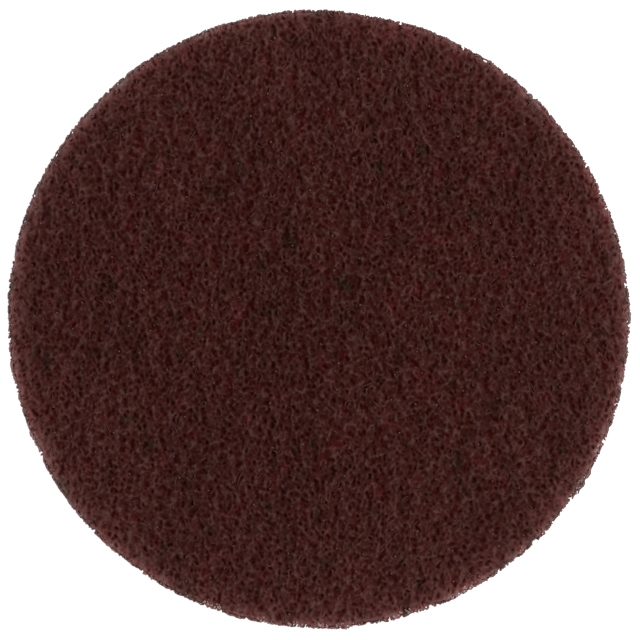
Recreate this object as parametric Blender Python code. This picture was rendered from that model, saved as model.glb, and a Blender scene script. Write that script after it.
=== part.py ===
"""Surface conditioning disc: one die-cut round of lofty, non-woven abrasive web.

Metres, +Z up. The disc lies on its flat back at Z = 0 with its working face up, and its
outline is centred on the origin.
"""

import math

import bpy
import bmesh
from mathutils import Vector, noise

# The round
DISC_DIAMETER = 0.127       # mean of the longest and the shortest diameter
DISC_THICKNESS = 0.006      # from the flat back to the tops of the tufts
OVALITY = 0.001             # longest diameter less the shortest, from the cut of a soft web
OVAL_ANGLE = math.radians(-22.0)    # direction of the longest diameter

# The cut edge
FACE_ROLL = 0.0008          # radius of the soft shoulder between the wall and the face
BACK_ROLL = 0.0004          # the same round the back
EDGE_WANDER = 0.00035       # how far the cut strays out, and as far in
EDGE_WANDER_PITCH = 0.005   # spacing of the strays, along the edge and up the wall

# The working face: strands matted into tufts, with hollows between them
TUFT_HEIGHT = 0.0009        # from the deepest hollow to the highest tuft
TUFT_LENGTH = 0.0065        # spacing of the tufts along the web, which runs along Y
TUFT_WIDTH = 0.0048         # spacing of the tufts across the web
TUFT_BEND = 0.004           # how far the rows of tufts bend to one side and the other
TUFT_BEND_PITCH = 0.016     # spacing of those bends
RIDGE_SHARE = 0.6           # share of the relief that is long ridges, the rest being lumps

# Mesh counts
FACE_RINGS = 36             # rings of points from the centre of the face to its shoulder
RING_STEP = 6               # each ring has this many points more than the ring inside it
ROLL_STEPS = 2              # facets across a soft shoulder
WALL_STEPS = 3              # facets up the wall between the shoulders
SMOOTH_UNDER = math.radians(50.0)   # facets that meet at less than this are shaded smooth

# The web: nylon strands in a maroon resin that holds the abrasive grains, in linear RGB
WEB_COLOUR = (0.052, 0.0145, 0.0125, 1.0)
WEB_ROUGHNESS = 0.9


def clear_scene():
    for item in list(bpy.data.objects):
        bpy.data.objects.remove(item, do_unlink=True)


def web_material():
    material = bpy.data.materials.new("abrasive_web")
    material.use_nodes = True
    shader = material.node_tree.nodes["Principled BSDF"]
    shader.inputs["Base Color"].default_value = WEB_COLOUR
    shader.inputs["Roughness"].default_value = WEB_ROUGHNESS
    shader.inputs["Metallic"].default_value = 0.0
    material.diffuse_color = WEB_COLOUR
    return material


def lumpiness(place):
    """Smooth noise, spread to fill 0 to 1."""
    return min(1.0, max(0.0, 0.5 + noise.noise(place)))


def face_level(x, y):
    """Height of the working face here, with its tufts and hollows."""
    bend = noise.noise_vector(Vector((x, y, 0.0)) / TUFT_BEND_PITCH) * TUFT_BEND
    place = Vector(((x + bend.x) / TUFT_WIDTH, (y + bend.y) / TUFT_LENGTH, 0.5))
    ridge = 1.0 - abs(2.0 * lumpiness(place) - 1.0)
    lump = lumpiness(place * 2.0)
    relief = RIDGE_SHARE * ridge + (1.0 - RIDGE_SHARE) * lump
    return DISC_THICKNESS - TUFT_HEIGHT * (1.0 - relief)


def rim_radius(angle, level):
    """Radius of the cut edge in this direction and at this height."""
    mean = DISC_DIAMETER / 2.0
    oval = OVALITY / 4.0 * math.cos(2.0 * (angle - OVAL_ANGLE))
    place = Vector((mean * math.cos(angle), mean * math.sin(angle), level))
    return mean + oval + EDGE_WANDER * noise.noise(place / EDGE_WANDER_PITCH)


def ring_places(count, level, inset=0.0, share=1.0):
    """Places of the points of a ring, inset inside the cut edge and then drawn in to a share."""
    places = []
    for index in range(count):
        angle = math.tau * index / count
        radius = share * (rim_radius(angle, level) - inset)
        places.append((radius * math.cos(angle), radius * math.sin(angle)))
    return places


def add_face(mesh):
    """The working face, as rings of even triangles. Returns the ring at its shoulder."""
    centre = mesh.verts.new((0.0, 0.0, face_level(0.0, 0.0)))
    inner = []
    for step in range(1, FACE_RINGS + 1):
        places = ring_places(RING_STEP * step, DISC_THICKNESS, FACE_ROLL, step / FACE_RINGS)
        ring = [mesh.verts.new((x, y, face_level(x, y))) for x, y in places]
        if inner:
            fill_between(mesh, inner, ring)
        else:
            for here, after in zip(ring, ring[1:] + ring[:1]):
                mesh.faces.new((centre, here, after))
        inner = ring
    return inner


def fill_between(mesh, inner, outer):
    """Triangles between two rings, taking next whichever ring's next point comes first."""
    near = 0
    far = 0
    while near < len(inner) or far < len(outer):
        here = inner[near % len(inner)]
        there = outer[far % len(outer)]
        if (far + 1) / len(outer) <= (near + 1) / len(inner):
            far += 1
            mesh.faces.new((here, there, outer[far % len(outer)]))
        else:
            near += 1
            mesh.faces.new((here, there, inner[near % len(inner)]))


def add_side(mesh, shoulder):
    """The soft shoulder, the cut wall, the rolled back edge and the flat back."""
    count = len(shoulder)
    rings = [shoulder]
    for step in range(1, ROLL_STEPS + 1):
        turn = math.pi / 2.0 * step / ROLL_STEPS
        inset = FACE_ROLL * (1.0 - math.sin(turn))
        drop = FACE_ROLL * (1.0 - math.cos(turn))
        places = ring_places(count, DISC_THICKNESS, inset)
        rings.append([mesh.verts.new((x, y, face_level(x, y) - drop)) for x, y in places])

    wall_top = DISC_THICKNESS - TUFT_HEIGHT - FACE_ROLL
    for step in range(1, WALL_STEPS + 1):
        level = wall_top + (BACK_ROLL - wall_top) * step / WALL_STEPS
        places = ring_places(count, level)
        rings.append([mesh.verts.new((x, y, level)) for x, y in places])

    for step in range(1, ROLL_STEPS + 1):
        turn = math.pi / 2.0 * step / ROLL_STEPS
        inset = BACK_ROLL * (1.0 - math.cos(turn))
        level = BACK_ROLL * (1.0 - math.sin(turn))
        places = ring_places(count, level, inset)
        rings.append([mesh.verts.new((x, y, level)) for x, y in places])

    for upper, lower in zip(rings, rings[1:]):
        for index in range(count):
            after = (index + 1) % count
            mesh.faces.new((upper[index], lower[index], lower[after], upper[after]))
    mesh.faces.new(list(reversed(rings[-1])))


def centre_outline(mesh):
    """Moves the round so that its outline is centred on the origin."""
    for axis in (0, 1):
        values = [vertex.co[axis] for vertex in mesh.verts]
        middle = (min(values) + max(values)) / 2.0
        for vertex in mesh.verts:
            vertex.co[axis] -= middle


def make_disc():
    mesh = bmesh.new()
    shoulder = add_face(mesh)
    add_side(mesh, shoulder)
    centre_outline(mesh)
    bmesh.ops.recalc_face_normals(mesh, faces=mesh.faces)
    data = bpy.data.meshes.new("conditioning_disc")
    mesh.to_mesh(data)
    mesh.free()
    data.materials.append(web_material())
    data.shade_smooth()
    data.set_sharp_from_angle(angle=SMOOTH_UNDER)
    disc = bpy.data.objects.new("conditioning_disc", data)
    bpy.context.scene.collection.objects.link(disc)


clear_scene()
make_disc()
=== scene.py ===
"""Looks of the surface conditioning disc.

The disc is a web of crimped strands, matted together by a maroon resin that carries the abrasive
grains. A body of matted strands and lumps of resin lies just under the frame's face, with pores
between them. Loose strands weave in and out of it as thin tubes, and are cut off at the frame's
edge. Lengths are in metres.
"""

import math

import bpy
import numpy as np
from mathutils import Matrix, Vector, noise
from mathutils.bvhtree import BVHTree


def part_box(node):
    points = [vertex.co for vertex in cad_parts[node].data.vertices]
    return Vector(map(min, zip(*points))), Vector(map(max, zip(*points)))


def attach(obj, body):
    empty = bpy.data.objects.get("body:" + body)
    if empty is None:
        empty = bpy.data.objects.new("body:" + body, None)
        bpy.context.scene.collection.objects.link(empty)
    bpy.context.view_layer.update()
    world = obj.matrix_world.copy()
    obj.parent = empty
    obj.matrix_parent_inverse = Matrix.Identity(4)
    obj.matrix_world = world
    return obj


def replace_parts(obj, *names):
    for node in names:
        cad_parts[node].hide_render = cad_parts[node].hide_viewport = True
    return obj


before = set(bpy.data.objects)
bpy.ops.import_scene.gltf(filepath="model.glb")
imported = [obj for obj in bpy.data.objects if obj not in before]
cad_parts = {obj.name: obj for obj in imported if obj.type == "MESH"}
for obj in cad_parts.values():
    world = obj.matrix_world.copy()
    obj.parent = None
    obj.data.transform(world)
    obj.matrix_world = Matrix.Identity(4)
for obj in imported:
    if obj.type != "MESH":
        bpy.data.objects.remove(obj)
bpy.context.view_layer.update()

SEED = 20
MM = 0.001
TINY = 1e-9                     # keeps a divisor above 0

# The frame's sizes
NODE = "conditioning_disc"
LOW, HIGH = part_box(NODE)
THICKNESS = HIGH[2] - LOW[2]
RADIUS = (HIGH[0] - LOW[0] + HIGH[1] - LOW[1]) / 4.0
WALL_FROM = 0.9 * RADIUS        # radius past which a point can be on its wall
WALL_LEVELS = (0.15, 0.75)      # heights between its rolled edges, as shares of its thickness
MAP_SIDE = 2.1 * RADIUS         # side of the square that the pieces' map covers

# All strands
STRAND_RADIUS = 0.24 * MM
STRAND_RADII = (0.8, 1.3)       # from the thinnest strand to the thickest, as shares of that
STRAND_STEP = 0.55 * MM         # length of one straight piece of a strand
SIDES = 3                       # sides of a strand
FACE_STRAND_LENGTH = 12.0 * MM
EDGE_STRAND_LENGTH = 7.0 * MM
CRIMPS = ((2.6 * MM, 0.4), (6.0 * MM, 0.52))    # spacing of waves, and their turning in radians
TURN_SPREAD = (0.4, 1.6)        # from the least crimped strand to the most, as shares of those turns
PITCH_SPREAD = (0.7, 1.5)       # from the closest waves to the widest, as shares of their spacing
CURL = 50.0                     # slow turning along a strand, in radians for each metre
SWELLING_PITCH = 1.8 * MM       # spacing of the swellings where resin has gathered
SWELLING = 0.5                  # how much thicker they are, as a share of the strand's radius
START_STRAY = 0.7               # how far starts stray, as a share of the gap between them
ALONG_WEB = 0.85                # share of strands that follow the web's direction
WEB_HEADING = math.radians(84.0)    # that direction, from +X
ALONG_SPREAD = 0.50             # how far those strands turn from it, in radians

# Strands in the top of the web
TOP_STRANDS = 350
TOP_DEPTHS = (0.15 * MM, 0.45 * MM)     # where they come highest, under the face
WEAVE_PITCH = 4.4 * MM          # spacing of a strand's dives into the matted body
WEAVE = 0.7 * MM                # depth of those dives

# Strands of the wall
EDGE_STRANDS = 3800             # in each of two pieces
EDGE_DEPTH = 1.1 * MM           # how far they reach into the matted body
EDGE_STRAY = 0.05 * MM          # how far their ends stray from the cut edge
EDGE_TOP = 0.97                 # height of the highest, as a share of the wall's
EDGE_WEAVE = 0.12               # how far each one rises and falls, as a share of that height
EDGE_WEAVE_PITCH = 4.0 * MM

# Strands on the back
BACK_STRANDS = 700
BACK_STRAND_RADII = (0.8, 1.2)
BACK_STRAND_INSET = 0.2 * MM    # their ends behind the cut edge
BACK_WEAVE = 0.3 * MM           # how far they rise into the matted back
BACK_WEAVE_PITCH = 5.0 * MM

# The matted body and back
BODY_RINGS = 280
BODY_PARTS = (0, 170, 236, BODY_RINGS)  # rings at which the body is parted into pieces
BACK_RINGS = 160
RING_STRAY = 0.2                # how far their points are astray, as a share of the gap between them
BODY_RELIEF = 0.95 * MM         # from its hollows to its crests
PORE_DEPTH = 0.20 * MM          # further depth of the pores
PORE_SHARE = 0.30               # relief under which a pore starts
BODY_INSET = 0.55 * MM          # the body's wall behind the cut edge
SHOULDER_WIDTH = 1.2 * MM       # width of the rim where the body rounds over into its wall
SHOULDER_DROP = 0.2 * MM        # how far it is lower there
SHOULDER_CALM = 0.5             # share of its relief that is lost there
WALL_STEPS = 9                  # facets up the wall
WALL_RELIEF = 0.45 * MM         # how far lumps stand out of the wall, and hollows in
WALL_LUMP_HEIGHT = 0.66 * MM    # spacing of those lumps up the wall
WALL_LUMP_LENGTH = 0.88 * MM    # and along it
WALL_LAYER = 4.5                # place of the wall in the noise that its lumps are made with
WALL_LIGHT_AND_SHADE = 0.9                 # how far a lump of the wall is paler than its level, and a hollow darker: painted light and shade
BACK_LIFT = 0.45 * MM           # underside of the body above the back
BACK_HOLLOWS = 0.95             # height of the back mat's hollows, as a share of that
BACK_CRESTS = 0.65              # how far its crests stand out from there, as a share of it too

# How the strands and lumps are matted
MAT_PITCH = 0.1 * MM            # spacing of the grid that strands are laid on
MAT_STRANDS = 8000
MAT_WEIGHTS = (0.2, 1.4)        # how much a strand counts, from the faintest to the strongest
MAT_DIVE_PITCH = 2.7 * MM       # spacing of the places where a matted strand dives out of sight
MAT_SPREAD = 0.15 * MM          # how far resin spreads from the middle of a matted strand
MAT_LUMPS = 1.30                # how much lumps of resin count beside the strands
MAT_LUMP_SIZE = 0.185 * MM      # how far a lump spreads from its middle
MAT_LUMP_CROWD = 0.80 * MM      # how far round a lump its crowding is evened out
MAT_LEAN = 0.15                 # how much stronger the lumps change across the web than along it
MAT_BUNDLES = 0.55              # how much bundles of strands count
MAT_BUNDLE_WIDTH = 0.42 * MM    # how far a bundle spreads from its middle across the web
MAT_BUNDLE_LENGTH = 0.9 * MM    # and along it
MAT_CROWD = 1.90 * MM           # how far round a place its crowding is evened out
MAT_CONTRAST = 0.235            # share of the relief for each usual swing from its middle

# The ragged part of the cut edge, where the web is more open
RAGGED_MIDDLE = math.radians(-62.0)     # from +X
RAGGED_HALF = math.radians(52.0)        # half of its length
RAGGED_FADE = math.radians(24.0)    # over which it passes into the clean part
RAGGED_INSET = 0.10 * MM        # further inset of the body's wall there
RAGGED_CUT = 0.04 * MM          # further inset of the strands' ends there
RAGGED_GAPS = 0.25              # share of the wall's strands that are missing there

# Drops of resin, and pale ends of strands
BEADS = 420
BEAD_SIZES = (0.12 * MM, 0.24 * MM)     # radii
BEAD_DEPTHS = (0.2 * MM, 0.5 * MM)      # of their middles under the face
BEAD_INSET = 0.8 * MM                   # of the outermost from the cut edge
BEAD_FLATNESS = 0.7                     # height of a lump as a share of its width
BEAD_UNEVENNESS = (0.75, 1.3)           # how far its corners are out, as shares of its radius
PALE_ENDS = 110
PALE_TUFTS = 16                         # places on the ragged part where they show
PALE_TUFT_SPREAD = 0.7 * MM             # how far a tuft spreads along the edge
PALE_SIZES = (0.13 * MM, 0.30 * MM)     # radii
PALE_DEPTHS = (0.1 * MM, 0.6 * MM)      # of their middles under the face
PALE_INSETS = (0.3 * MM, 1.2 * MM)      # of their middles from the cut edge

# Noise in the materials: its scales are for coordinates in metres
ALONG_STRETCH = (1.0, 0.65, 1.0)        # under 1 draws it out along that axis
CLOUD_STRETCH = (1.0, 0.45, 1.0)
PATCH_SCALE = 330.0
CLOUD_SCALE = 110.0
CLOUD_DETAIL = 3.0
CLOUD_FINENESS = 0.75                   # how strong the fine parts of the clouds are
GRAIN_SCALE = 2200.0
MOTTLE_SCALE = 260.0
ROUGHNESS_SCALE = 900.0
ROUGHNESS_SWING = 0.15
BUMP_SCALE = 4500.0
BUMP_STRENGTH = 0.6
BUMP_HEIGHT = 0.03 * MM

# What the resin's colour is multiplied by in its patches, clouds and grains
PATCH_TONES = (
    (0.27, (0.46, 0.64, 0.48)),
    (0.34, (0.76, 0.87, 0.68)),
    (0.41, (0.97, 1.01, 0.99)),
    (0.60, (1.00, 1.00, 1.00)),
    (0.70, (1.22, 0.88, 0.96)))
CLOUD_TONES = (
    (0.28, (0.78, 0.78, 0.78)),
    (0.72, (1.22, 1.22, 1.22)))
GRAIN_TONES = (
    (0.34, (0.92, 0.92, 0.92)),
    (0.66, (1.08, 1.08, 1.08)))

# What the colour is multiplied by, from the pores of the mat to its crests: painted shade, dark and
# red in the pores, and painted light and sheen, pale on the crests
MAT_PAINTED_SHADE_AND_LIGHT = (
    (0.05, (0.74, 0.10, 0.03)),
    (0.25, (0.78, 0.37, 0.31)),
    (0.50, (0.95, 0.875, 0.88)),
    (0.75, (1.33, 1.72, 1.86)),
    (0.95, (1.78, 2.82, 3.15)))

# What is added to the colour, from the centre of the disc to its cut edge: partly the pale ends of
# cut strands, partly painted light that brightens the rim
EDGE_PALENESS_AND_PAINTED_LIGHT = (
    (0.000, (0.0, 0.0, 0.0)),
    (0.500, (0.0030, 0.0010, 0.0009)),
    (0.900, (0.0120, 0.0045, 0.0041)),
    (0.955, (0.0325, 0.0128, 0.0117)),
    (0.975, (0.0710, 0.0275, 0.0257)),
    (0.988, (0.1430, 0.0760, 0.0720)),
    (1.000, (0.2350, 0.1480, 0.1430)))
PAINTED_LIGHT_SIDE = math.radians(-105.0)        # side of the disc whose cut edge is palest: painted light falls from it

# What that is multiplied by: painted light from one side, from the middle of the disc to its lit
# side; mottles;
# and painted shade, from the pores of the mat to its crests
SIDE_PAINTED_LIGHT = (
    (0.00, (0.87, 0.87, 0.87)),
    (0.30, (0.93, 0.93, 0.93)),
    (0.75, (1.22, 1.22, 1.22)))
MOTTLE_TONES = (
    (0.33, (0.55, 0.68, 0.64)),
    (0.45, (0.92, 0.90, 0.90)),
    (0.56, (1.17, 0.97, 0.97)),
    (0.67, (1.26, 1.52, 1.52)))
EDGE_PAINTED_SHADE = (
    (0.05, (0.3, 0.3, 0.3)),
    (0.60, (1.0, 1.0, 1.0)))

# The picture, the camera and the floor
PHOTO_SIDE = 640                # pixels
PHOTO_DISC = 621.6              # mean of the frame disc's width and height there, in pixels
PHOTO_CENTRE = (318.76, 319.39)     # from the upper left corner
CAMERA_HEIGHT = 1.1             # above the face
CAMERA_CLIP = 0.01
SENSOR = 36.0                   # millimetres
FLOOR_GAP = 0.02 * MM           # under the disc


# Reading the frame

def mesh_points(mesh):
    points = np.empty(len(mesh.vertices) * 3)
    mesh.vertices.foreach_get("co", points)
    return points.reshape(-1, 3)


class Frame:
    """The cut edge and the face of the frame's disc, as functions of direction and place."""

    BINS = 180              # directions in which the edge is read
    PITCH = 1.0 * MM        # of the grid on which the face is read
    GRID_REACH = 1.05 * RADIUS
    FACE_INSET = 0.5 * MM   # the outermost place where the face is read, from the edge

    def __init__(self, disc):
        points = mesh_points(disc.data)
        self.read_edge(points)
        self.read_face(disc.data, points)

    def read_edge(self, points):
        """Mean radius of the wall in each direction, without its rolled edges."""
        radius = np.hypot(points[:, 0], points[:, 1])
        level = points[:, 2] / THICKNESS
        wall = (radius > WALL_FROM) & (level > WALL_LEVELS[0]) & (level < WALL_LEVELS[1])
        angle = np.arctan2(points[wall, 1], points[wall, 0]) % math.tau
        place = (angle / math.tau * self.BINS).astype(int) % self.BINS
        count = np.bincount(place, minlength=self.BINS)
        total = np.bincount(place, weights=radius[wall], minlength=self.BINS)
        self.edge_angles = (np.arange(self.BINS) + 0.5) * math.tau / self.BINS
        self.edge_radii = total / np.maximum(count, 1)

    def read_face(self, mesh, points):
        """Height of the face on a grid, whose points past the edge have the height beside it."""
        faces = [tuple(polygon.vertices) for polygon in mesh.polygons]
        tree = BVHTree.FromPolygons([Vector(point) for point in points], faces)
        self.axis = np.arange(-self.GRID_REACH, self.GRID_REACH + self.PITCH, self.PITCH)
        x, y = np.meshgrid(self.axis, self.axis, indexing="ij")
        limit = self.edge(x, y) - self.FACE_INSET
        inwards = np.minimum(1.0, limit / np.maximum(np.hypot(x, y), MM))
        above = THICKNESS * 2.0
        level = np.empty(x.size)
        for index, (px, py) in enumerate(zip((x * inwards).ravel(), (y * inwards).ravel())):
            hit = tree.ray_cast(Vector((px, py, above)), Vector((0.0, 0.0, -1.0)))[0]
            level[index] = hit.z
        self.level = level.reshape(x.shape)

    def edge(self, x, y):
        """Radius of the cut edge in the direction of each place."""
        angle = np.arctan2(y, x) % math.tau
        return np.interp(angle, self.edge_angles, self.edge_radii, period=math.tau)

    def face(self, x, y):
        """Height of the face at each place."""
        last = len(self.axis) - 1.001   # just short of the last point, so that one lies past it
        u = np.clip((x - self.axis[0]) / self.PITCH, 0.0, last)
        v = np.clip((y - self.axis[0]) / self.PITCH, 0.0, last)
        return between(self.level, u, v)


def between(grid, u, v):
    """Value of a grid between its points, at places in steps of the grid."""
    i, j = u.astype(int), v.astype(int)
    u, v = u - i, v - j
    near = grid[i, j] * (1.0 - v) + grid[i, j + 1] * v
    far = grid[i + 1, j] * (1.0 - v) + grid[i + 1, j + 1] * v
    return near * (1.0 - u) + far * u


def smooth_step(value):
    value = np.clip(value, 0.0, 1.0)
    return value * value * (3.0 - 2.0 * value)


def raggedness(x, y):
    """1 on the ragged side of the disc, 0 on its clean side."""
    away = np.abs((np.arctan2(y, x) - RAGGED_MIDDLE + math.pi) % math.tau - math.pi)
    return smooth_step((RAGGED_HALF - away) / RAGGED_FADE + 0.5)


# Laying strands

def headings(rng, count):
    """Directions that strands set out in: some along the web, the rest any way."""
    along = WEB_HEADING + rng.normal(0.0, ALONG_SPREAD, count)
    anyhow = rng.uniform(0.0, math.tau, count)
    return np.where(rng.random(count) < ALONG_WEB, along, anyhow)


def crimped_plan(rng, start, length, step=STRAND_STEP):
    """Crimped plans of strands, as x and y: one row for each strand that starts at start."""
    count = len(start)
    along = np.arange(round(length / step) + 1) * step
    heading = headings(rng, count)[:, None] + rng.normal(0.0, CURL, (count, 1)) * along
    for pitch, turn in CRIMPS:
        pitches = pitch * rng.uniform(*PITCH_SPREAD, (count, 1))
        turns = turn * rng.uniform(*TURN_SPREAD, (count, 1))
        phase = rng.uniform(0.0, math.tau, (count, 1))
        heading = heading + turns * np.sin(math.tau * along / pitches + phase)
    x = start[:, :1] + np.cumsum(np.cos(heading), axis=1) * step
    y = start[:, 1:] + np.cumsum(np.sin(heading), axis=1) * step
    return x, y, along


def waves(rng, along, count, pitch):
    """A wave along each strand, from 0 to 1."""
    pitches = pitch * rng.uniform(*PITCH_SPREAD, (count, 1))
    phase = rng.uniform(0.0, math.tau, (count, 1))
    return 0.5 + 0.5 * np.sin(math.tau * along / pitches + phase)


def round_starts(rng, count, inner, outer):
    """Places spread evenly between two radii, each in a share of the area of its own."""
    share = (np.arange(count) + rng.random(count)) / count
    radius = np.sqrt(inner**2 + (outer**2 - inner**2) * share)
    golden = math.pi * (3.0 - math.sqrt(5.0))
    stray = START_STRAY * math.sqrt(1.0 / count)
    angle = np.arange(count) * golden + rng.normal(0.0, stray, count)
    return np.stack([radius * np.cos(angle), radius * np.sin(angle)], 1)


def beside(kept):
    """Which points have a kept point next to them on their strand."""
    near = np.zeros_like(kept)
    near[:, 1:] |= kept[:, :-1]
    near[:, :-1] |= kept[:, 1:]
    return near


def cut_at_edge(shape, x, y, stray):
    """Which points of the strands are kept, with the first point past the edge pulled back to it."""
    radius = np.hypot(x, y)
    limit = shape.edge(x, y) + stray
    inside = radius <= limit
    pull = np.where(inside, 1.0, limit / radius)
    return inside | beside(inside), x * pull, y * pull


def tube_points(rng, path, radius):
    """Corners round each point of each strand."""
    tangent = np.gradient(path, axis=1)
    tangent /= np.maximum(np.linalg.norm(tangent, axis=2, keepdims=True), TINY)
    side = np.cross(tangent, (0.0, 0.0, 1.0))
    side /= np.maximum(np.linalg.norm(side, axis=2, keepdims=True), TINY)
    up = np.cross(side, tangent)
    roll = rng.uniform(0.0, math.tau, (len(path), 1))
    rings = []
    for corner in range(SIDES):
        turn = (roll + math.tau * corner / SIDES)[:, :, None]
        rings.append(path + radius[:, :, None] * (np.cos(turn) * side + np.sin(turn) * up))
    return np.stack(rings, 2)


def tube_faces(keep):
    """Sides and ends of tubes along the kept stretches, whose points are numbered as they come."""
    number = np.cumsum(keep.ravel()).reshape(keep.shape) - 1
    runs = keep[:, :-1] & keep[:, 1:]
    first = number[:, :-1][runs] * SIDES
    second = number[:, 1:][runs] * SIDES
    faces = []
    for corner in range(SIDES):
        after = (corner + 1) % SIDES
        side = [first + after, first + corner, second + corner, second + after]
        faces += np.stack(side, 1).tolist()
    before = np.zeros_like(keep)
    before[:, 1:] = runs
    beyond = np.zeros_like(keep)
    beyond[:, :-1] = runs
    starts = number[keep & ~before][:, None] * SIDES
    ends = number[keep & ~beyond][:, None] * SIDES
    faces += (starts + np.arange(SIDES)).tolist()
    faces += (ends + np.arange(SIDES)[::-1]).tolist()
    return faces


def tube_mesh(name, rng, path, radius, keep):
    """One mesh of closed tubes along the kept stretches of path."""
    keep = keep & beside(keep)
    points = tube_points(rng, path, radius)[keep].reshape(-1, 3)
    return smooth_mesh(name, points, tube_faces(keep))


def smooth_mesh(name, points, faces):
    """A mesh with a map seen from above, so that colours are drawn on it as it lies."""
    mesh = bpy.data.meshes.new(name)
    mesh.from_pydata(points, [], faces)
    mesh.shade_smooth()
    corners = np.empty(len(mesh.loops), np.int32)
    mesh.loops.foreach_get("vertex_index", corners)
    places = 0.5 + points[corners, :2] / MAP_SIDE
    mesh.uv_layers.new(name="OFBake").uv.foreach_set("vector", places.ravel())
    return mesh


def add_piece(mesh, material):
    mesh.materials.append(material)
    piece = bpy.data.objects.new(mesh.name, mesh)
    bpy.context.scene.collection.objects.link(piece)
    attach(piece, "root")
    return piece


def strand_radii(rng, along, count):
    """Radius along each strand, with swellings where resin has gathered."""
    radius = STRAND_RADIUS * rng.uniform(*STRAND_RADII, (count, 1))
    return radius * (1.0 - SWELLING / 2.0 + SWELLING * waves(rng, along, count, SWELLING_PITCH))


def edge_stray(rng, start):
    """How far past the cut edge each strand reaches."""
    ragged = raggedness(start[:, :1], start[:, 1:])
    return rng.normal(0.0, 1.0, ragged.shape) * (1.0 + ragged) * EDGE_STRAY - RAGGED_CUT * ragged


def face_strands(name, shape, seed, count, material):
    """Strands that weave through the web under its face."""
    rng = np.random.default_rng(seed)
    start = round_starts(rng, count, 0.0, RADIUS + FACE_STRAND_LENGTH)
    x, y, along = crimped_plan(rng, start, FACE_STRAND_LENGTH)
    keep, x, y = cut_at_edge(shape, x, y, edge_stray(rng, start))
    radius = strand_radii(rng, along, count)
    depth = rng.uniform(*TOP_DEPTHS, (count, 1)) + WEAVE * waves(rng, along, count, WEAVE_PITCH)
    path = np.stack([x, y, shape.face(x, y) - radius - depth], 2)
    add_piece(tube_mesh(name, rng, path, radius, keep), material)


def edge_strands(name, shape, seed, count, material):
    """Strands at all heights behind the cut edge, cut off at it."""
    rng = np.random.default_rng(seed)
    behind = RADIUS - BODY_INSET - EDGE_DEPTH
    start = round_starts(rng, count, behind - EDGE_STRAND_LENGTH, RADIUS + EDGE_STRAND_LENGTH)
    x, y, along = crimped_plan(rng, start, EDGE_STRAND_LENGTH)
    keep, x, y = cut_at_edge(shape, x, y, edge_stray(rng, start))
    keep &= np.hypot(x, y) > behind
    keep &= rng.random((count, 1)) > RAGGED_GAPS * raggedness(start[:, :1], start[:, 1:])
    radius = strand_radii(rng, along, count)
    top = shape.face(x, y) - radius
    share = rng.uniform(0.0, EDGE_TOP, (count, 1))
    share = share + EDGE_WEAVE * (waves(rng, along, count, EDGE_WEAVE_PITCH) - 0.5)
    path = np.stack([x, y, radius + (top - radius) * np.clip(share, 0.0, EDGE_TOP)], 2)
    add_piece(tube_mesh(name, rng, path, radius, keep), material)


def back_strands(name, shape, seed, count, material):
    """Strands pressed flat against the back."""
    rng = np.random.default_rng(seed)
    start = round_starts(rng, count, 0.0, RADIUS + FACE_STRAND_LENGTH)
    x, y, along = crimped_plan(rng, start, FACE_STRAND_LENGTH)
    keep, x, y = cut_at_edge(shape, x, y, -BACK_STRAND_INSET)
    radius = STRAND_RADIUS * rng.uniform(*BACK_STRAND_RADII, (count, 1)) * np.ones_like(along)
    level = radius + BACK_WEAVE * waves(rng, along, count, BACK_WEAVE_PITCH)
    path = np.stack([x, y, level], 2)
    add_piece(tube_mesh(name, rng, path, radius, keep), material)


# The matted body and back

def body_edge(shape, x, y):
    """Radius of the matted body's wall in the direction of each place."""
    return shape.edge(x, y) - BODY_INSET - RAGGED_INSET * raggedness(x, y)


def ring_triangles(ring, inner, outer):
    """Triangles between a ring of 6 * ring points and the next ring.
    inner and outer are the numbers of their first points."""
    count = 6 * ring
    sector, step = np.divmod(np.arange(count), ring)
    here = inner + np.arange(count)
    after = inner + (np.arange(count) + 1) % count
    there = outer + sector * (ring + 1) + step
    corner = np.arange(1, 7)
    before = outer + corner * (ring + 1) - 1
    beyond = outer + (corner * (ring + 1)) % (6 * (ring + 1))
    return [np.stack([here, there, there + 1], 1),
            np.stack([here, there + 1, after], 1),
            np.stack([inner + (corner * ring) % count, before, beyond], 1)]


def ring_grid(rng, rings, shape):
    """Places of even triangles in rings round the centre, each a little astray, and the triangles.
    Those inside a ring come first, and there are 6 * ring**2 of them."""
    places = [np.zeros((1, 2))]
    triangles = [np.array([[0, 1 + i, 1 + (i + 1) % 6] for i in range(6)])]
    inner = 1
    for ring in range(1, rings + 1):
        count = 6 * ring
        astray = RING_STRAY if ring < rings else 0.0
        turn = (np.arange(count) + rng.uniform(-astray, astray, count)) * math.tau / count
        share = (ring + rng.uniform(-astray, astray, count)) / rings
        radius = body_edge(shape, np.cos(turn), np.sin(turn)) * share
        places.append(np.stack([radius * np.cos(turn), radius * np.sin(turn)], 1))
        if ring < rings:
            triangles += ring_triangles(ring, inner, inner + count)
            inner += count
    return np.concatenate(places), np.concatenate(triangles)


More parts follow.
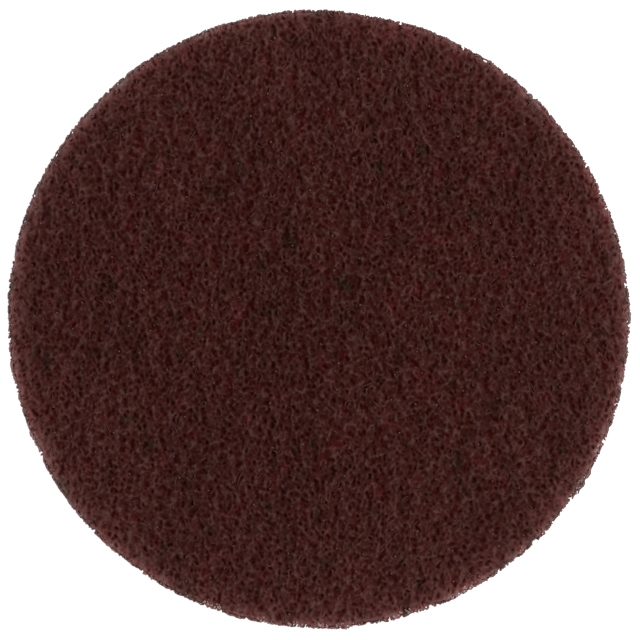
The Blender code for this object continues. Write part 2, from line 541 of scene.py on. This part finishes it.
class Mat:
    """Relief of strands and lumps of resin that lie matted flat: 0 in a pore, 1 on a crest."""

    def __init__(self, seed, count):
        rng = np.random.default_rng(seed)
        start = round_starts(rng, count, 0.0, RADIUS + FACE_STRAND_LENGTH)
        x, y, along = crimped_plan(rng, start, FACE_STRAND_LENGTH, 2.0 * MAT_PITCH)
        # A strand is out of sight in the lowest quarter of its wave, and all there in the highest
        shown = np.clip(2.0 * waves(rng, along, count, MAT_DIVE_PITCH) - 0.5, 0.0, 1.0)
        weight = rng.uniform(*MAT_WEIGHTS, (count, 1)) * shown
        self.reach = RADIUS + FACE_STRAND_LENGTH * 2.0
        self.count = round(2.0 * self.reach / MAT_PITCH) + 2
        size = (self.count, self.count)
        strands = self.laid(x.ravel(), y.ravel(), weight.ravel())
        strands = self.evened(strands, MAT_SPREAD, MAT_SPREAD, MAT_CROWD)
        lumps = self.leaned(rng.normal(size=size))
        lumps = self.evened(lumps, MAT_LUMP_SIZE, MAT_LUMP_SIZE, MAT_LUMP_CROWD)
        bundles = rng.normal(size=size)
        bundles = self.evened(bundles, MAT_BUNDLE_WIDTH, MAT_BUNDLE_LENGTH, MAT_CROWD)
        above = strands + MAT_LUMPS * lumps + MAT_BUNDLES * bundles
        swing = np.sqrt(np.maximum(self.blurred(above**2, MAT_CROWD, MAT_CROWD), TINY))
        self.relief = np.clip(0.5 + MAT_CONTRAST * above / swing, 0.0, 1.0)

    def steps(self, x, y):
        """Places in steps of the grid."""
        return (x + self.reach) / MAT_PITCH, (y + self.reach) / MAT_PITCH

    def laid(self, x, y, weight):
        """The grid with weights laid on it, each shared by the four points round its place."""
        u, v = self.steps(x, y)
        i, j = u.astype(int), v.astype(int)
        u, v = u - i, v - j
        total = np.zeros(self.count**2)
        for down, share in ((0, 1.0 - u), (1, u)):
            for across, part in ((0, 1.0 - v), (1, v)):
                place = (i + down) * self.count + j + across
                total += np.bincount(place, weights=share * part * weight, minlength=len(total))
        return total.reshape(self.count, self.count)

    def filtered(self, grid, strength):
        """The grid with its waves made stronger or weaker by how many a metre holds each way."""
        x = np.fft.fftfreq(self.count, MAT_PITCH)[:, None]
        y = np.fft.rfftfreq(self.count, MAT_PITCH)[None, :]
        return np.fft.irfft2(np.fft.rfft2(grid) * strength(x, y), s=grid.shape)

    def blurred(self, grid, width, length):
        """The grid with each value spread over this width, and over this length along Y."""
        return self.filtered(grid, lambda x, y: np.exp(
            -2.0 * math.pi**2 * ((x * width) ** 2 + (y * length) ** 2)))

    def leaned(self, grid):
        """The grid with its changes across the web made stronger than those along it."""
        return self.filtered(grid, lambda x, y: (
            1.0 + MAT_LEAN * (x**2 - y**2) / np.maximum(x**2 + y**2, TINY)))

    def evened(self, grid, width, length, crowd):
        """The grid blurred, less its mean round each place, in units of its usual swing."""
        fine = self.blurred(grid, width, length) - self.blurred(grid, crowd, crowd)
        return fine / fine.std()

    def at(self, x, y):
        return between(self.relief, *self.steps(x, y))


def sunk(relief):
    """Depth of the mat under its level, by its relief."""
    pore = smooth_step((PORE_SHARE - relief) / PORE_SHARE)
    return BODY_RELIEF * (1.0 - relief) + PORE_DEPTH * pore


def add_relief(mesh, relief):
    mesh.attributes.new("relief", "FLOAT", "POINT").data.foreach_set("value", relief)


def body_top(shape, places):
    """Points of the body's porous top, and their relief."""
    x, y = places[:, 0], places[:, 1]
    relief = Mat(SEED + 80, MAT_STRANDS).at(x, y)
    inside = body_edge(shape, x, y) - np.hypot(x, y)
    shoulder = smooth_step(1.0 - inside / SHOULDER_WIDTH) ** 2
    depth = sunk(relief) * (1.0 - SHOULDER_CALM * shoulder) + SHOULDER_DROP * shoulder
    return np.stack([x, y, shape.face(x, y) - depth], 1), relief


def wall_ring(rim, share):
    """Points of the body's lumpy wall, this share of the way down from its rim, and their relief."""
    angle = np.arctan2(rim[:, 1], rim[:, 0])
    height = rim[:, 2] + (BACK_LIFT - rim[:, 2]) * share
    along = angle * RADIUS / WALL_LUMP_LENGTH
    up = height / WALL_LUMP_HEIGHT
    lump = np.array([noise.noise((a, h, WALL_LAYER)) for a, h in zip(along.tolist(), up.tolist())])
    radius = np.hypot(rim[:, 0], rim[:, 1]) + WALL_RELIEF * lump
    points = np.stack([radius * np.cos(angle), radius * np.sin(angle), height], 1)
    # Lumps that stand out get painted light, hollows painted shade
    return points, np.clip(0.5 + WALL_LIGHT_AND_SHADE * lump, 0.0, 1.0)


def body_meshes(shape):
    """The matted body: its porous top, its wall, and a plain underside that the back mat covers."""
    places, triangles = ring_grid(np.random.default_rng(SEED + 90), BODY_RINGS, shape)
    top, relief = body_top(shape, places)
    points = [top]
    reliefs = [relief]
    faces = triangles.tolist()

    around = 6 * BODY_RINGS
    here = np.arange(around)
    after = (here + 1) % around
    before = len(places) - around
    for step in range(1, WALL_STEPS + 1):
        ring, relief = wall_ring(top[-around:], step / WALL_STEPS)
        points.append(ring)
        reliefs.append(relief)
        row = before + around
        faces += np.stack([before + here, row + here, row + after, before + after], 1).tolist()
        before = row

    points.append(np.array([[0.0, 0.0, BACK_LIFT]]))
    reliefs.append(np.array([0.5]))
    centre = np.full(around, before + around)
    faces += np.stack([centre, before + after, before + here], 1).tolist()
    return parted(np.concatenate(points), np.concatenate(reliefs), faces)


def parted(points, reliefs, faces):
    """Meshes of the body's rings, the last of them with its wall and underside."""
    meshes = []
    for part, (first, last) in enumerate(zip(BODY_PARTS, BODY_PARTS[1:])):
        end = 6 * last**2 if last < BODY_RINGS else len(faces)
        chosen = faces[6 * first**2:end]
        used = sorted({corner for face in chosen for corner in face})
        number = dict(zip(used, range(len(used))))
        renumbered = [[number[corner] for corner in face] for face in chosen]
        mesh = smooth_mesh("web_body_%d" % (part + 1), points[used], renumbered)
        add_relief(mesh, reliefs[used])
        meshes.append(mesh)
    return meshes


def back_mesh(shape):
    """The matted back, pressed flatter than the face."""
    places, triangles = ring_grid(np.random.default_rng(SEED + 91), BACK_RINGS, shape)
    relief = Mat(SEED + 81, MAT_STRANDS).at(places[:, 0], places[:, 1])
    level = BACK_LIFT * (BACK_HOLLOWS - BACK_CRESTS * relief)
    points = np.column_stack([places, level])
    mesh = smooth_mesh("back_mat", points, triangles[:, ::-1].tolist())
    add_relief(mesh, relief)
    return mesh


# Drops of resin and ends of strands

def icosahedron():
    """Corners at 1 from the centre, and triangles that face outwards."""
    golden = (1.0 + math.sqrt(5.0)) / 2.0
    corners = []
    for a, b in ((-1, golden), (1, golden), (-1, -golden), (1, -golden)):
        corners += [(a, b, 0.0), (0.0, a, b), (b, 0.0, a)]
    corners = np.array(corners) / math.hypot(1.0, golden)
    edge = np.min(np.linalg.norm(corners[1:] - corners[0], axis=1)) * 1.01
    near = np.linalg.norm(corners[:, None] - corners[None], axis=2) < edge
    triangles = []
    for i in range(12):
        for j in range(i + 1, 12):
            for k in range(j + 1, 12):
                if near[i, j] and near[j, k] and near[i, k]:
                    across = np.cross(corners[j] - corners[i], corners[k] - corners[i])
                    outwards = np.dot(across, corners[i]) > 0
                    triangles.append((i, j, k) if outwards else (i, k, j))
    return corners, np.array(triangles)


def bead_mesh(name, rng, shape, place, sizes, depths):
    """Small lumps, each an uneven icosahedron, with their middles at depths under the face."""
    corners, triangles = icosahedron()
    count = len(place)
    size = rng.uniform(*sizes, (count, 1, 1)) * (1.0, 1.0, BEAD_FLATNESS)
    level = shape.face(place[:, 0], place[:, 1]) - rng.uniform(*depths, count)
    centres = np.column_stack([place, level])[:, None, :]
    unevenness = rng.uniform(*BEAD_UNEVENNESS, (count, 12, 1))
    points = (centres + corners * size * unevenness).reshape(-1, 3)
    faces = (np.arange(count)[:, None, None] * 12 + triangles).reshape(-1, 3)
    return smooth_mesh(name, points, faces.tolist())


def resin_beads(shape, seed, count):
    """Drops of resin that stand on the web and glint."""
    rng = np.random.default_rng(seed)
    place = round_starts(rng, count, 0.0, RADIUS - BEAD_INSET)
    return bead_mesh("resin_beads", rng, shape, place, BEAD_SIZES, BEAD_DEPTHS)


def pale_ends(shape, seed, count):
    """Ends of cut strands without resin, in tufts along the ragged part of the cut edge."""
    rng = np.random.default_rng(seed)
    tufts = RAGGED_MIDDLE + RAGGED_HALF * rng.uniform(-1.0, 1.0, PALE_TUFTS)
    angle = rng.choice(tufts, count) + rng.normal(0.0, PALE_TUFT_SPREAD / RADIUS, count)
    x, y = np.cos(angle), np.sin(angle)
    radius = shape.edge(x, y) - rng.uniform(*PALE_INSETS, count)
    place = np.stack([radius * x, radius * y], 1)
    return bead_mesh("pale_ends", rng, shape, place, PALE_SIZES, PALE_DEPTHS)


# Materials

def node(tree, kind, **settings):
    made = tree.nodes.new(kind)
    for name, value in settings.items():
        setattr(made, name, value)
    return made


def noise_value(tree, place, scale, detail=2.0, roughness=0.5):
    made = node(tree, "ShaderNodeTexNoise")
    tree.links.new(place, made.inputs["Vector"])
    made.inputs["Scale"].default_value = scale
    made.inputs["Detail"].default_value = detail
    made.inputs["Roughness"].default_value = roughness
    return made.outputs["Fac"]


def ramp(tree, value, stops):
    made = node(tree, "ShaderNodeValToRGB")
    tree.links.new(value, made.inputs["Fac"])
    elements = made.color_ramp.elements
    while len(elements) < len(stops):
        elements.new(0.5)
    for element, (position, colour) in zip(elements, stops):
        element.position = position
        element.color = (*colour, 1.0)
    return made.outputs["Color"]


def mix(tree, blend, first, second):
    made = node(tree, "ShaderNodeMix", data_type="RGBA", blend_type=blend)
    made.inputs["Factor"].default_value = 1.0
    tree.links.new(first, made.inputs[6])
    tree.links.new(second, made.inputs[7])
    return made.outputs[2]


def scaled(tree, value, low, high):
    """Stretches a value that runs from 0 to 1 to run from low to high."""
    made = node(tree, "ShaderNodeMapRange")
    tree.links.new(value, made.inputs["Value"])
    made.inputs["To Min"].default_value = low
    made.inputs["To Max"].default_value = high
    return made.outputs["Result"]


def stretched(tree, scale):
    """Object coordinates, multiplied by a factor along each axis."""
    made = node(tree, "ShaderNodeMapping")
    tree.links.new(node(tree, "ShaderNodeTexCoord").outputs["Object"], made.inputs["Vector"])
    made.inputs["Scale"].default_value = scale
    return made.outputs["Vector"]


def web_tone(tree, place, colour):
    """The resin's colour, with redder and green-black patches, broad clouds and fine grains."""
    tinted = [(stop, [part * tone for part, tone in zip(colour, tones)])
              for stop, tones in PATCH_TONES]
    patches = ramp(tree, noise_value(tree, place, PATCH_SCALE), tinted)
    along = stretched(tree, CLOUD_STRETCH)
    cloud = noise_value(tree, along, CLOUD_SCALE, CLOUD_DETAIL, CLOUD_FINENESS)
    clouds = ramp(tree, cloud, CLOUD_TONES)
    grains = ramp(tree, noise_value(tree, place, GRAIN_SCALE), GRAIN_TONES)
    return mix(tree, "MULTIPLY", mix(tree, "MULTIPLY", patches, clouds), grains)


def pale_edge_and_painted_light(tree, place):
    """What the web gains in paleness towards its cut edge: partly where its strands' ends show,
    partly painted light on the rim.
    """
    disc = stretched(tree, (1.0 / RADIUS, 1.0 / RADIUS, 0.0))
    away = node(tree, "ShaderNodeVectorMath", operation="LENGTH")
    tree.links.new(disc, away.inputs[0])
    # Painted light: paler towards the cut edge, partly from pale strand ends
    paleness = ramp(tree, away.outputs["Value"], EDGE_PALENESS_AND_PAINTED_LIGHT)
    # Painted light from one side: the rim paler on that side, darker on the far side
    side = node(tree, "ShaderNodeVectorMath", operation="DOT_PRODUCT")
    tree.links.new(disc, side.inputs[0])
    side.inputs[1].default_value = (math.cos(PAINTED_LIGHT_SIDE), math.sin(PAINTED_LIGHT_SIDE), 0.0)
    tone = ramp(tree, side.outputs["Value"], SIDE_PAINTED_LIGHT)
    mottle = ramp(tree, noise_value(tree, place, MOTTLE_SCALE), MOTTLE_TONES)
    return mix(tree, "MULTIPLY", mix(tree, "MULTIPLY", paleness, tone), mottle)


def resin(name, colour, roughness, gloss, tones=None):
    """Resin over the web, with an uneven colour and gloss, a pale edge that is partly painted light,
    and fine bumps.
    tones are painted shade and light from pores to crests, on a mesh that has that relief."""
    material = bpy.data.materials.new(name)
    material.use_nodes = True
    tree = material.node_tree
    shader = tree.nodes["Principled BSDF"]
    place = stretched(tree, ALONG_STRETCH)

    toned = web_tone(tree, place, colour)
    edge = pale_edge_and_painted_light(tree, place)
    if tones:
        depth = node(tree, "ShaderNodeAttribute", attribute_name="relief").outputs["Fac"]
        # Painted shade in the pores and painted light on the crests
        toned = mix(tree, "MULTIPLY", toned, ramp(tree, depth, tones))
        # Painted shade: the rim's added paleness is weaker in the pores
        edge = mix(tree, "MULTIPLY", edge, ramp(tree, depth, EDGE_PAINTED_SHADE))
    tree.links.new(mix(tree, "ADD", toned, edge), shader.inputs["Base Color"])

    uneven = noise_value(tree, place, ROUGHNESS_SCALE)
    uneven = scaled(tree, uneven, roughness - ROUGHNESS_SWING, roughness + ROUGHNESS_SWING)
    tree.links.new(uneven, shader.inputs["Roughness"])
    shader.inputs["Specular IOR Level"].default_value = gloss
    bump = node(tree, "ShaderNodeBump")
    bump.inputs["Strength"].default_value = BUMP_STRENGTH
    bump.inputs["Distance"].default_value = BUMP_HEIGHT
    tree.links.new(noise_value(tree, place, BUMP_SCALE), bump.inputs["Height"])
    tree.links.new(bump.outputs["Normal"], shader.inputs["Normal"])
    return material


# Stage, lights and camera

def white_to_camera(tree):
    """1 for the rays that see the background, and 0 for the rays that light the disc."""
    path = node(tree, "ShaderNodeLightPath")
    total = path.outputs["Is Camera Ray"]
    for output in ("Is Glossy Ray", "Is Transmission Ray"):
        most = node(tree, "ShaderNodeMath", operation="MAXIMUM")
        tree.links.new(total, most.inputs[0])
        tree.links.new(path.outputs[output], most.inputs[1])
        total = most.outputs["Value"]
    return total


def make_floor(half, glow):
    """A pale floor, which glows for the camera alone and so looks white, but for the shadow."""
    mesh = bpy.data.meshes.new("floor")
    corners = [(-half, -half, 0.0), (half, -half, 0.0), (half, half, 0.0), (-half, half, 0.0)]
    mesh.from_pydata(corners, [], [(0, 1, 2, 3)])
    floor = bpy.data.objects.new("floor", mesh)
    bpy.context.scene.collection.objects.link(floor)
    floor.location.z = LOW[2] - FLOOR_GAP
    material = bpy.data.materials.new("floor_white")
    material.use_nodes = True
    tree = material.node_tree
    shader = tree.nodes["Principled BSDF"]
    shader.inputs["Base Color"].default_value = (0.8, 0.8, 0.8, 1.0)
    shader.inputs["Roughness"].default_value = 1.0
    shader.inputs["Specular IOR Level"].default_value = 0.0
    shader.inputs["Emission Color"].default_value = (1.0, 1.0, 1.0, 1.0)
    seen = scaled(tree, white_to_camera(tree), 0.0, glow)
    tree.links.new(seen, shader.inputs["Emission Strength"])
    mesh.materials.append(material)


def make_world(strength):
    world = bpy.data.worlds.new("studio")
    bpy.context.scene.world = world
    world.use_nodes = True
    tree = world.node_tree
    background = tree.nodes["Background"]
    background.inputs["Color"].default_value = (1.0, 1.0, 1.0, 1.0)
    seen = scaled(tree, white_to_camera(tree), strength, 1.0)
    tree.links.new(seen, background.inputs["Strength"])


def make_softbox(name, azimuth, elevation, distance, size, power):
    """A square lamp aimed at the disc. azimuth is the side that it stands on, from +X."""
    lamp = bpy.data.lights.new(name, "AREA")
    lamp.size = size
    lamp.energy = power
    holder = bpy.data.objects.new(name, lamp)
    bpy.context.scene.collection.objects.link(holder)
    side, lift = math.radians(azimuth), math.radians(elevation)
    holder.location = distance * Vector(
        (math.cos(side) * math.cos(lift), math.sin(side) * math.cos(lift), math.sin(lift)))
    holder.rotation_euler = (-holder.location).to_track_quat("-Z", "Y").to_euler()


def make_camera():
    """Straight above, so that the disc lies in the picture where the photograph has it."""
    scene = bpy.context.scene
    camera = bpy.data.objects.new("camera", bpy.data.cameras.new("camera"))
    scene.collection.objects.link(camera)
    pixel = 2.0 * RADIUS / PHOTO_DISC
    camera.data.sensor_width = SENSOR
    camera.data.lens = SENSOR * CAMERA_HEIGHT / (pixel * PHOTO_SIDE)
    camera.location = (
        (PHOTO_SIDE / 2.0 - PHOTO_CENTRE[0]) * pixel,
        (PHOTO_CENTRE[1] - PHOTO_SIDE / 2.0) * pixel,
        THICKNESS + CAMERA_HEIGHT,
    )
    camera.data.clip_start = CAMERA_CLIP
    scene.camera = camera
    scene.view_settings.view_transform = "Standard"


make_camera()
make_world(strength=0.45)
make_softbox("key", azimuth=20.0, elevation=50.0, distance=0.55, size=0.40, power=1.70)
make_softbox("fill", azimuth=190.0, elevation=45.0, distance=1.6, size=1.0, power=5.6)
make_floor(half=3.0, glow=0.7)

shape = Frame(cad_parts[NODE])
matted = resin(
    "matted_resin", (0.0452, 0.0112, 0.0092), roughness=0.85, gloss=0.07, tones=MAT_PAINTED_SHADE_AND_LIGHT)
low = resin("low_resin", (0.062, 0.0105, 0.0080), roughness=0.65, gloss=0.12)
middle = resin("middle_resin", (0.056, 0.0112, 0.0088), roughness=0.6, gloss=0.13)
# Paler in green and blue than the other strands' resin: painted light and sheen on the strands on
# top
top = resin("top_resin_painted_light", (0.066, 0.0195, 0.0163), roughness=0.7, gloss=0.12)
glint = resin("bead_resin", (0.110, 0.0500, 0.0450), roughness=0.45, gloss=0.3)
pale = resin("pale_resin", (0.240, 0.1600, 0.1500), roughness=0.6, gloss=0.2)

for mesh in body_meshes(shape):
    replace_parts(add_piece(mesh, matted), NODE)
add_piece(back_mesh(shape), matted)
face_strands("top_strands", shape, SEED + 3, TOP_STRANDS, top)
edge_strands("edge_low_strands", shape, SEED + 5, EDGE_STRANDS, low)
edge_strands("edge_top_strands", shape, SEED + 6, EDGE_STRANDS, top)
back_strands("back_strands", shape, SEED + 7, BACK_STRANDS, middle)
add_piece(resin_beads(shape, SEED + 8, BEADS), glint)
add_piece(pale_ends(shape, SEED + 9, PALE_ENDS), pale)
